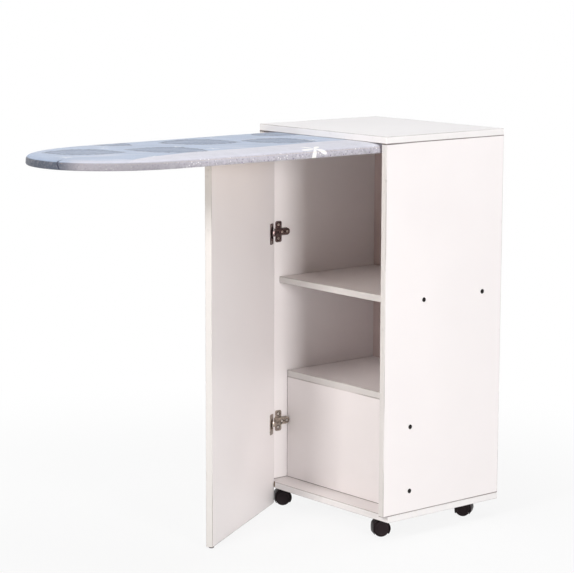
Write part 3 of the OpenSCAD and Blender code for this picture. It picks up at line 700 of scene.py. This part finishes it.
def round_edges(piece, width, segments, degrees):
    """Bevels the edges that turn by more than this, and applies all modifiers."""
    bevel = piece.modifiers.new("soft_edge", "BEVEL")
    bevel.width = width
    bevel.segments = segments
    bevel.limit_method = "ANGLE"
    bevel.angle_limit = math.radians(degrees)
    apply_modifiers(piece)


def join(pieces):
    """Joins pieces into the first of them."""
    select_only(pieces[0])
    for piece in pieces[1:]:
        piece.select_set(True)
    bpy.ops.object.join()
    return pieces[0]


def ring_faces(rings, around, bands):
    """Quads between each ring of points and the next, for this many bands."""
    faces = []
    for a, b in ((band * around, (band + 1) % rings * around) for band in range(bands)):
        faces += [(a + i, b + i, b + (i + 1) % around, a + (i + 1) % around)
                  for i in range(around)]
    return faces


def softened_copy(node, name, width):
    """A copy of a part of the frame, with its edges rounded."""
    piece = NODES[node].copy()
    piece.data = NODES[node].data.copy()
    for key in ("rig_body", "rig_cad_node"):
        if key in piece:
            del piece[key]
    piece.name = name
    piece.parent = None
    bpy.context.scene.collection.objects.link(piece)
    select_only(piece)
    bpy.ops.object.mode_set(mode="EDIT")
    bpy.ops.mesh.select_all(action="SELECT")
    bpy.ops.mesh.remove_doubles(threshold=0.01 * MM)
    bpy.ops.mesh.dissolve_limited(angle_limit=math.radians(1.0))
    bpy.ops.object.mode_set(mode="OBJECT")
    crease = 38
    round_edges(piece, width, 2, crease)
    bpy.ops.object.shade_smooth_by_angle(angle=math.radians(crease))
    return piece


def about_hinge(turn):
    """A turn about the door's hinge."""
    return Matrix.Translation(HINGE) @ Matrix.Rotation(turn, 4, "Z") @ Matrix.Translation(-HINGE)


def closed_door_box(node):
    """A door part's corners once the door is turned back to its closed place."""
    back = about_hinge(settings("board_finish").door_open)
    points = np.array([back @ v.co for v in NODES[node].data.vertices])
    return Vector(points.min(0)), Vector(points.max(0))


def head_places(node):
    """The centres of the screw heads that lie in the outer faces of both sides."""
    places = []
    for face_x, outwards in ((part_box("left_side")[0].x, -1), (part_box("right_side")[1].x, 1)):
        heads = []
        for point in (vertex.co for vertex in NODES[node].data.vertices):
            if abs(point.x - face_x) < 0.6 * MM:
                near = [head for head in heads if (head[0] - point).length < 0.02]
                if near:
                    near[0].append(point)
                else:
                    heads.append([point])
        for head in heads:
            points = np.array(head)
            middle = (points.min(0) + points.max(0)) / 2
            places.append((face_x - outwards * 0.05 * MM, middle[1], middle[2]))
    return places


def board_outline(look, inset):
    """Points round the board, clockwise from the tail's right corner, set in by an inset."""
    low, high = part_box("board_cover")
    half, tail = high.x - inset, high.y - inset
    nose_half, nose_length = look.nose_half_width - inset, look.nose_length - inset
    corner = max(0.006 - inset * 0.2, 0.001)
    right = [Vector((half - corner * (1 - math.cos(a)), tail - corner * (1 - math.sin(a))))
             for a in np.linspace(math.pi / 2, 0, 5)]
    right.append(Vector((half, min(high.y - TAIL, tail - corner - 0.001))))
    roundness = 2 / look.nose_power
    for a in np.linspace(0, math.pi / 2, 60):
        x = nose_half * math.cos(a) ** roundness if a < math.pi / 2 - 1e-6 else 0.0
        y = low.y + look.nose_length - nose_length * math.sin(a) ** roundness
        right.append(Vector((x, y)))
    return right + [Vector((-p.x, p.y)) for p in reversed(right[:-1])]


def even_steps(points, count):
    """The points of an open line moved to even distances along it."""
    line = np.array(points)
    along = np.concatenate([[0], np.cumsum(np.linalg.norm(np.diff(line, axis=0), axis=1))])
    wanted = np.linspace(0, along[-1], count)
    return np.stack([np.interp(wanted, along, line[:, i]) for i in range(line.shape[1])], axis=1)


# ---- Steps that dress the cabinet ----


class CABINET_OT_panels(bpy.types.Operator):
    """Give the cabinet's panels and door their white coat and edge strips"""

    bl_idname = "ironing_cabinet.panels"
    bl_label = "Finish Panels"

    def execute(self, context):
        look = settings("board_finish")
        upright = ((2, 1), (2, -1))
        between = ((0, 1), (0, -1))
        pale, edge = look.pale_band, look.edge_band
        for node, band, butted in (("top_panel", pale, ()), ("bottom_panel", pale, ()),
                                   ("left_side", edge, upright), ("right_side", edge, upright),
                                   ("middle_shelf", edge, between), ("lower_shelf", edge, between),
                                   ("lower_partition", edge, (*between, (2, -1)))):
            repaint(coated_board("coat_" + node, *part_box(node), band, butted=butted), node)
        door = coated_board("coat_door", *closed_door_box("door_panel"), edge, look.door_open,
                            HINGE)
        repaint(door, "door_panel")
        repaint(hardboard(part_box("back_panel")[0].y), "back_panel")
        return {"FINISHED"}


class CABINET_OT_joinery(bpy.types.Operator):
    """Finish the dowels, screws, pegs, pins and bushes"""

    bl_idname = "ironing_cabinet.joinery"
    bl_label = "Finish Joinery"

    def execute(self, context):
        metal = settings("metal_finish")
        repaint(turned_wood(), "panel_dowels")
        repaint(plated("dark_screws", metal.dark, 0.38), "side_screws", "bottom_screws")
        repaint(plated("zinc", metal.zinc, 0.26), "shelf_pegs", "hinge_pins", "board_pivot_pins",
                "caster_plate_screws")
        repaint(plated("warm_screws", metal.screw, 0.20), "hinge_plate_screws", "hinge_arm_screws",
                "hinge_cup_screws")
        repaint(moulded("nylon", (0.80, 0.79, 0.76), 0.4, dusty=0.05), "board_bushes")
        self.screw_covers(metal)
        return {"FINISHED"}

    def screw_covers(self, metal):
        """Low domed black caps over the screw heads in both sides."""
        caps = []
        for place in head_places("side_screws"):
            cap = primitive("cylinder", vertices=36, radius=metal.cover / 2, depth=0.9 * MM,
                            location=place, rotation=(0, math.pi / 2, 0))
            round_edges(cap, 0.35 * MM, 4, 60)
            caps.append(cap)
        covers = join(caps)
        covers.name = "side_screw_covers"
        bpy.ops.object.shade_smooth_by_angle(angle=math.radians(40))
        plastic = moulded("cover_plastic", metal.dark, 0.45, dusty=0.02, ior=1.15)
        dress(covers, plastic, "cabinet", "black_nylon")


class CABINET_OT_hinges(bpy.types.Operator):
    """Round the edges of the pressed hinge parts and plate them"""

    bl_idname = "ironing_cabinet.hinges"
    bl_label = "Build Hinges"

    def execute(self, context):
        metal = settings("metal_finish")
        screw_y = centre_of("hinge_plate_screws").y
        low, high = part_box("hinge_arm_screws")
        head = 3.2 * MM
        # the upper hinge's darker colour is painted shade
        for level, tint in (("upper", metal.upper_hinge_painted_shade), ("lower", metal.nickel)):
            z = centre_of(f"{level}_hinge_plate").z
            marks = [(screw_y, z + side * metal.screw_pitch / 2, 4.1 * MM) for side in (-1, 1)]
            marks += [(y, z, 3.7 * MM) for y in (low.y + head, high.y - head)]
            steel = hinge_metal(f"{level}_hinge_steel", tint, marks)
            for part, body in (("plate", "cabinet"), ("arm", "cabinet"), ("cup", "door")):
                node = f"{level}_hinge_{part}"
                piece = softened_copy(node, f"pressed_{node}", metal.soft_edge)
                dress(piece, steel, body, "bronzed_steel", node)
        return {"FINISHED"}


class CABINET_OT_casters(bpy.types.Operator):
    """Round and finish the casters and the foot under the door"""

    bl_idname = "ironing_cabinet.casters"
    bl_label = "Build Casters"

    def execute(self, context):
        look = settings("caster_finish")
        nylon = moulded("hood_nylon", look.hood, 0.34, dusty=0.01, ior=1.14)
        tread = moulded("wheel_nylon", look.wheel, 0.30, dusty=0.015, ior=1.17)
        steel = plated("caster_steel", scaled(settings("metal_finish").zinc, 0.25), 0.4)
        for caster in CASTERS:
            housing, wheels = f"{caster}_caster_housing", f"{caster}_caster_wheels"
            hood = softened_copy(housing, f"{caster}_caster_hood", 0.4 * MM)
            join([hood, self.band(caster, look)])
            dress(hood, nylon, f"{caster}_swivel", "black_nylon", housing)
            pair = softened_copy(wheels, f"{caster}_caster_pair", 0.3 * MM)
            dress(pair, tread, f"{caster}_wheels", "black_wheel_plastic", wheels)
            repaint(steel, f"{caster}_caster_plate")
            repaint(bpy.data.materials["zinc"], f"{caster}_caster_kingpin", f"{caster}_caster_axle")
        repaint(moulded("foot_plastic", look.foot, 0.5, dusty=0.3), "door_glide")
        return {"FINISHED"}

    def band(self, caster, look):
        """The hood's band that reaches round both wheels, to below their axle."""
        middle, pin = centre_of(f"{caster}_caster_wheels"), centre_of(f"{caster}_caster_kingpin")
        ahead = (pin - middle).xy
        band = primitive("cylinder", vertices=80, radius=look.band_radius, depth=look.band_width,
                         end_fill_type="NOTHING", location=middle,
                         rotation=(math.pi / 2, 0, math.atan2(ahead.y, ahead.x)))
        foot = middle.z - look.band_drop
        pick_faces(band, lambda face: face.calc_center_median().z < foot)
        bpy.ops.mesh.delete(type="FACE")
        bpy.ops.object.mode_set(mode="OBJECT")
        for vertex in band.data.vertices:
            below = max(0.0, (middle.z - vertex.co.z) / look.band_drop)
            vertex.co.xy += (middle - vertex.co).xy * 0.03 * below
        wall = band.modifiers.new("wall", "SOLIDIFY")
        wall.thickness = 1.6 * MM
        wall.offset = -1.0
        round_edges(band, 0.7 * MM, 3, 50)
        free = look.swivel - 0.8 * MM
        widest = math.hypot(ahead.length + look.band_radius, look.band_width / 2)
        for vertex in band.data.vertices:
            out = (vertex.co - pin).xy.length
            if out > free:
                kept = free + (out - free) * (look.swivel - free) / (widest - free)
                vertex.co.xy = pin.xy + (vertex.co - pin).xy * kept / out
        bpy.ops.object.shade_smooth_by_angle(angle=math.radians(40))
        return band


class CABINET_OT_mirror(bpy.types.Operator):
    """Build the bevelled mirror on the door's outer face"""

    bl_idname = "ironing_cabinet.mirror"
    bl_label = "Build Mirror"

    def execute(self, context):
        look = settings("mirror_finish")
        turn = settings("board_finish").door_open
        low, high = closed_door_box("mirror")
        pane = primitive("cube", size=1, location=(low + high) / 2, scale=high - low)
        pane.name = "bevelled_mirror"
        pick_faces(pane, lambda face: face.normal.y < -0.9)
        bpy.ops.mesh.inset(thickness=look.facet)
        bpy.ops.object.mode_set(mode="OBJECT")
        for vertex in pane.data.vertices:
            from_side = min(vertex.co.x - low.x, high.x - vertex.co.x)
            if from_side < look.facet / 2 and vertex.co.y < low.y + 0.01 * MM:
                vertex.co.y += look.facet_drop
        pane.data.transform(about_hinge(-turn))
        dress(pane, silvered_glass(low, high, turn), "door", "mirror_glass", "mirror")
        return {"FINISHED"}


class CABINET_OT_cover(bpy.types.Operator):
    """Build the padded cover with its rounded edge, gathered hem and drawstring"""

    bl_idname = "ironing_cabinet.cover"
    bl_label = "Build Cover"

    def execute(self, context):
        look = settings("board_cover")
        low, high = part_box("board_cover")
        thick = high.z - low.z
        around = 420
        side, flat = self.rings(look, low, high)
        rings = side + flat
        points, from_rim, down_side = [], [], []
        for ring, (inset, z) in enumerate(rings):
            for i, (x, y) in enumerate(even_steps(board_outline(look, inset), around)):
                rise = 0.0
                if ring >= len(side):
                    rise = self.crown(look, inset, x, y)
                elif z <= low.z + 1e-6:
                    rise = self.gather(look, inset, i)
                points.append((x, y, z + rise))
                from_rim.append(inset if z > low.z + thick * 0.5 else 0.0)
                down_side.append(max(0.0, min(1.0, (high.z - z) / thick * 1.6 - 0.4)))
        last, end = len(points) - around, len(points) - 1
        across = [(last + i, end - i, end - 1 - i, last + i + 1) for i in range(around // 2 - 1)]
        faces = ring_faces(len(rings), around, len(rings) - 1) + across
        cover = mesh_piece("printed_cover", points, faces)
        for key, values in (("from_rim", from_rim), ("down_side", down_side)):
            cover.data.attributes.new(key, "FLOAT", "POINT").data.foreach_set("value", values)
        held = [i for i, p in enumerate(points) if p[2] < low.z + thick * 0.3]
        self.swell(cover, held, look.swell)
        shell = cover.modifiers.new("cloth", "SOLIDIFY")
        shell.thickness = 0.7 * MM
        shell.offset = -1.0
        apply_modifiers(cover)
        cotton = printed_cotton(high.y - TAIL, high.x, high.z)
        dress(cover, cotton, "ironing_board", "printed_cotton", "board_cover", "board_pad")
        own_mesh(cover)
        repaint(chipboard(), "board_core")
        self.drawstring(look, low.z)
        return {"FINISHED"}

    def rings(self, look, low, high):
        """Insets and heights of the rings from the hem to the rim, and of those over the top."""
        top, bottom, thick = look.top_round, look.low_round, high.z - low.z
        side = [(bottom + (look.hem - bottom) * s, low.z) for s in np.linspace(1.0, 0.0, 9)]
        for a in np.radians(np.linspace(20, 90, 4)):
            side.append((bottom * (1 - math.sin(a)), low.z + bottom - bottom * math.cos(a)))
        side += [(0.0, low.z + thick * s) for s in (0.35, 0.50)]
        for a in np.radians(np.linspace(0, 80, 6)):
            side.append((top * (1 - math.cos(a)), high.z - top + top * math.sin(a)))
        innermost = 0.174
        flat = (0.010, 0.014, *np.arange(0.020, innermost, 0.0075), innermost)
        return side, [(inset, high.z) for inset in flat]

    def crown(self, look, inset, x, y):
        """How far the padding rises at a point of the top."""
        lift = min(1.0, inset / 0.04)
        dents = 0.3 * MM * lift * math.sin(x * 31 + 1.3) * math.sin(y * 17 + 0.4)
        return look.crown * lift * lift * (3 - 2 * lift) + dents

    def gather(self, look, inset, i):
        """How far the hem's folds rise at a point of the underside."""
        part = max(0.0, min(1.0, (inset - look.low_round) / (look.hem - look.low_round)))
        fold = math.sin(i * 0.9 + 2.2 * math.sin(i * 0.11)) + 0.6 * math.sin(i * 0.53 + 1.0)
        return look.pucker * part * (0.35 + 0.65 * part) * (fold * 0.5 + 0.8)

    def swell(self, cover, held, cap):
        """Lets the cloth swell over its pad, held below, and caps its movement."""
        flat = np.empty(len(cover.data.vertices) * 3)
        cover.data.vertices.foreach_get("co", flat)
        group = cover.vertex_groups.new(name="held")
        group.add(held, 1.0, "REPLACE")
        cloth = cover.modifiers.new("swell", "CLOTH")
        for key, value in {"quality": 4, "tension_stiffness": 12, "compression_stiffness": 12,
                           "bending_stiffness": 0.3, "use_pressure": True,
                           "uniform_pressure_force": 4, "vertex_group_mass": group.name}.items():
            setattr(cloth.settings, key, value)
        cloth.settings.effector_weights.gravity = 0
        cloth.collision_settings.use_collision = False
        for moment in range(1, 13):
            bpy.context.scene.frame_set(moment)
        apply_modifiers(cover)
        bpy.context.scene.frame_set(1)
        cover.vertex_groups.clear()
        full = np.empty_like(flat)
        cover.data.vertices.foreach_get("co", full)
        move = (full - flat).reshape(-1, 3)
        far = np.linalg.norm(move, axis=1, keepdims=True)
        cover.data.vertices.foreach_set("co", flat + (move * cap / (cap + far)).ravel())
        cover.data.update()

    def drawstring(self, look, underside):
        """The cord that gathers the hem under the board."""
        radius, flatness, sides = look.drawstring / 2, 0.6, 8
        line = even_steps(board_outline(look, look.hem - radius * 0.4), 300)
        up = Vector((0, 0, radius * flatness))
        points = []
        for i, (x, y) in enumerate(line):
            ahead = line[(i + 1) % len(line)] - line[i - 1]
            across = Vector((ahead[1], -ahead[0], 0)).normalized() * radius
            for a in np.arange(sides) * 2 * math.pi / sides:
                turned = across * math.cos(a) + up * math.sin(a)
                points.append(Vector((x, y, underside)) + up + turned)
        cord = mesh_piece("hem_drawstring", points, ring_faces(len(line), sides, len(line)))
        dress(cord, woven_cord(), "ironing_board", "printed_cotton")


# Lamps: their setting, their place, what they face, their breadth and height, and their tint
MIDDLE = (0.0, 0.2, 0.5)
LAMPS = (
    ("key", (4.20, -0.68, 1.05), (0.1, 0.15, 0.5), (0.85, 1.4), (1.0, 0.985, 0.985)),
    ("front", (0.53, -2.75, 1.65), MIDDLE, (0.8, 0.5), (1.0, 0.965, 0.945)),
    ("top", (0.2, 0.15, 3.1), (0.0, 0.0, 0.9), (2.0, 2.0), (0.94, 0.975, 1.0)),
    ("left", (-3.0, -0.2, 1.3), MIDDLE, (1.3, 1.3), (1.0, 1.0, 1.0)),
    ("rear", (0.9, 3.3, 1.3), MIDDLE, (1.3, 1.3), (1.0, 1.0, 1.0)),
)


class CABINET_OT_stage(bpy.types.Operator):
    """Set up the floor, the lamps, the pale surroundings and the camera"""

    bl_idname = "ironing_cabinet.stage"
    bl_label = "Set Up Stage"

    def execute(self, context):
        look = settings("stage")
        self.floor(look)
        self.surroundings(context, look)
        for name, place, target, breadth, tint in LAMPS:
            self.lamp(f"{name}_light", getattr(look, name), place, target, breadth, tint)
        self.camera(context, look)
        context.scene.view_settings.view_transform = "Standard"
        return {"FINISHED"}

    def floor(self, look):
        """A large pale disc that turns plain white away from the cabinet."""
        disc = primitive("circle", vertices=96, radius=6.0, fill_type="NGON", location=(0, 0, 0))
        disc.name = "floor"
        finish = Finish("pale_floor")
        base = finish.add("ShaderNodeBsdfDiffuse", {"Color": (*look.floor, 1.0)})
        white = finish.add("ShaderNodeEmission", {"Color": (1, 1, 1, 1)})
        far = 0.87 + finish.place.length().ramp(0.6, 1.7) * 0.13
        seen = finish.ray("Camera").most(finish.ray("Glossy"))
        finish.end(finish.add("ShaderNodeMixShader", {0: far * seen, 1: base, 2: white}))
        disc.data.materials.append(finish.material)

    def surroundings(self, context, look):
        """White behind the cabinet, and a softer level of light from all round."""
        context.scene.world = bpy.data.worlds.new("pale_surroundings")
        sky = Shading(context.scene.world)
        light = sky.add("ShaderNodeBackground",
                        {"Color": (1.0, 0.985, 0.97, 1.0), "Strength": look.ambient})
        white = sky.add("ShaderNodeBackground", {"Color": (1, 1, 1, 1)})
        seen = sky.ray("Camera").most(sky.ray("Glossy").most(sky.ray("Transmission")))
        both = sky.add("ShaderNodeMixShader", {0: seen, 1: light, 2: white})
        sky.end(both, "ShaderNodeOutputWorld")

    def lamp(self, name, watts, place, target, breadth, tint):
        """A soft lamp of this breadth and height that faces a target."""
        light = bpy.data.lights.new(name, "AREA")
        light.energy = watts
        light.color = tint
        light.shape = "RECTANGLE"
        light.size, light.size_y = breadth
        lamp = bpy.data.objects.new(name, light)
        lamp.location = place
        ahead = Vector(target) - Vector(place)
        lamp.rotation_euler = ahead.to_track_quat("-Z", "Y").to_euler()
        bpy.context.scene.collection.objects.link(lamp)

    def camera(self, context, look):
        """The camera, from its place, heading and focal length in pixels."""
        width, height, sensor = 574, 573, 36.0
        data = bpy.data.cameras.new("camera")
        data.sensor_width = sensor
        data.lens = look.focal_pixels * sensor / width
        data.shift_x = (width / 2 - look.centre[0]) / width
        data.shift_y = (look.centre[1] - height / 2) / width
        data.clip_end = 200.0
        level = math.cos(look.pitch)
        ahead = Vector((math.sin(look.yaw) * level, math.cos(look.yaw) * level,
                        math.sin(look.pitch)))
        side = Vector((math.cos(look.yaw), -math.sin(look.yaw), 0))
        above = side.cross(ahead)
        right = side * math.cos(look.roll) + above * math.sin(look.roll)
        up = above * math.cos(look.roll) - side * math.sin(look.roll)
        camera = bpy.data.objects.new("camera", data)
        camera.matrix_world = Matrix((right, up, -ahead)).transposed().to_4x4()
        camera.location = look.camera
        bpy.context.scene.collection.objects.link(camera)
        context.scene.camera = camera


# ---- Sidebar and registration ----

STEPS = (CABINET_OT_panels, CABINET_OT_joinery, CABINET_OT_hinges, CABINET_OT_casters,
         CABINET_OT_mirror, CABINET_OT_cover, CABINET_OT_stage)


class CABINET_PT_sidebar(bpy.types.Panel):
    """Lists the steps that dress the cabinet"""

    bl_idname = "CABINET_PT_sidebar"
    bl_label = "Ironing Cabinet"
    bl_space_type = "VIEW_3D"
    bl_region_type = "UI"
    bl_category = "Ironing Cabinet"

    def draw(self, context):
        for step in STEPS:
            self.layout.operator(step.bl_idname)
        for name, group in SETTINGS.items():
            box = self.layout.box()
            box.label(text=name.replace("_", " ").capitalize())
            for value in group.__annotations__:
                box.prop(settings(name), value)


CLASSES = (*SETTINGS.values(), *STEPS, CABINET_PT_sidebar)


def register():
    """Registers the classes and puts the settings on the scene."""
    for cls in CLASSES:
        bpy.utils.register_class(cls)
    for name, group in SETTINGS.items():
        setattr(bpy.types.Scene, "cabinet_" + name, bpy.props.PointerProperty(type=group))


def unregister():
    """Takes the settings and the classes away again."""
    for name in SETTINGS:
        delattr(bpy.types.Scene, "cabinet_" + name)
    for cls in reversed(CLASSES):
        bpy.utils.unregister_class(cls)


def main():
    """Dresses the cabinet step by step."""
    register()
    for step in STEPS:
        group, name = step.bl_idname.split(".")
        getattr(getattr(bpy.ops, group), name)()


if __name__ == "__main__":
    main()
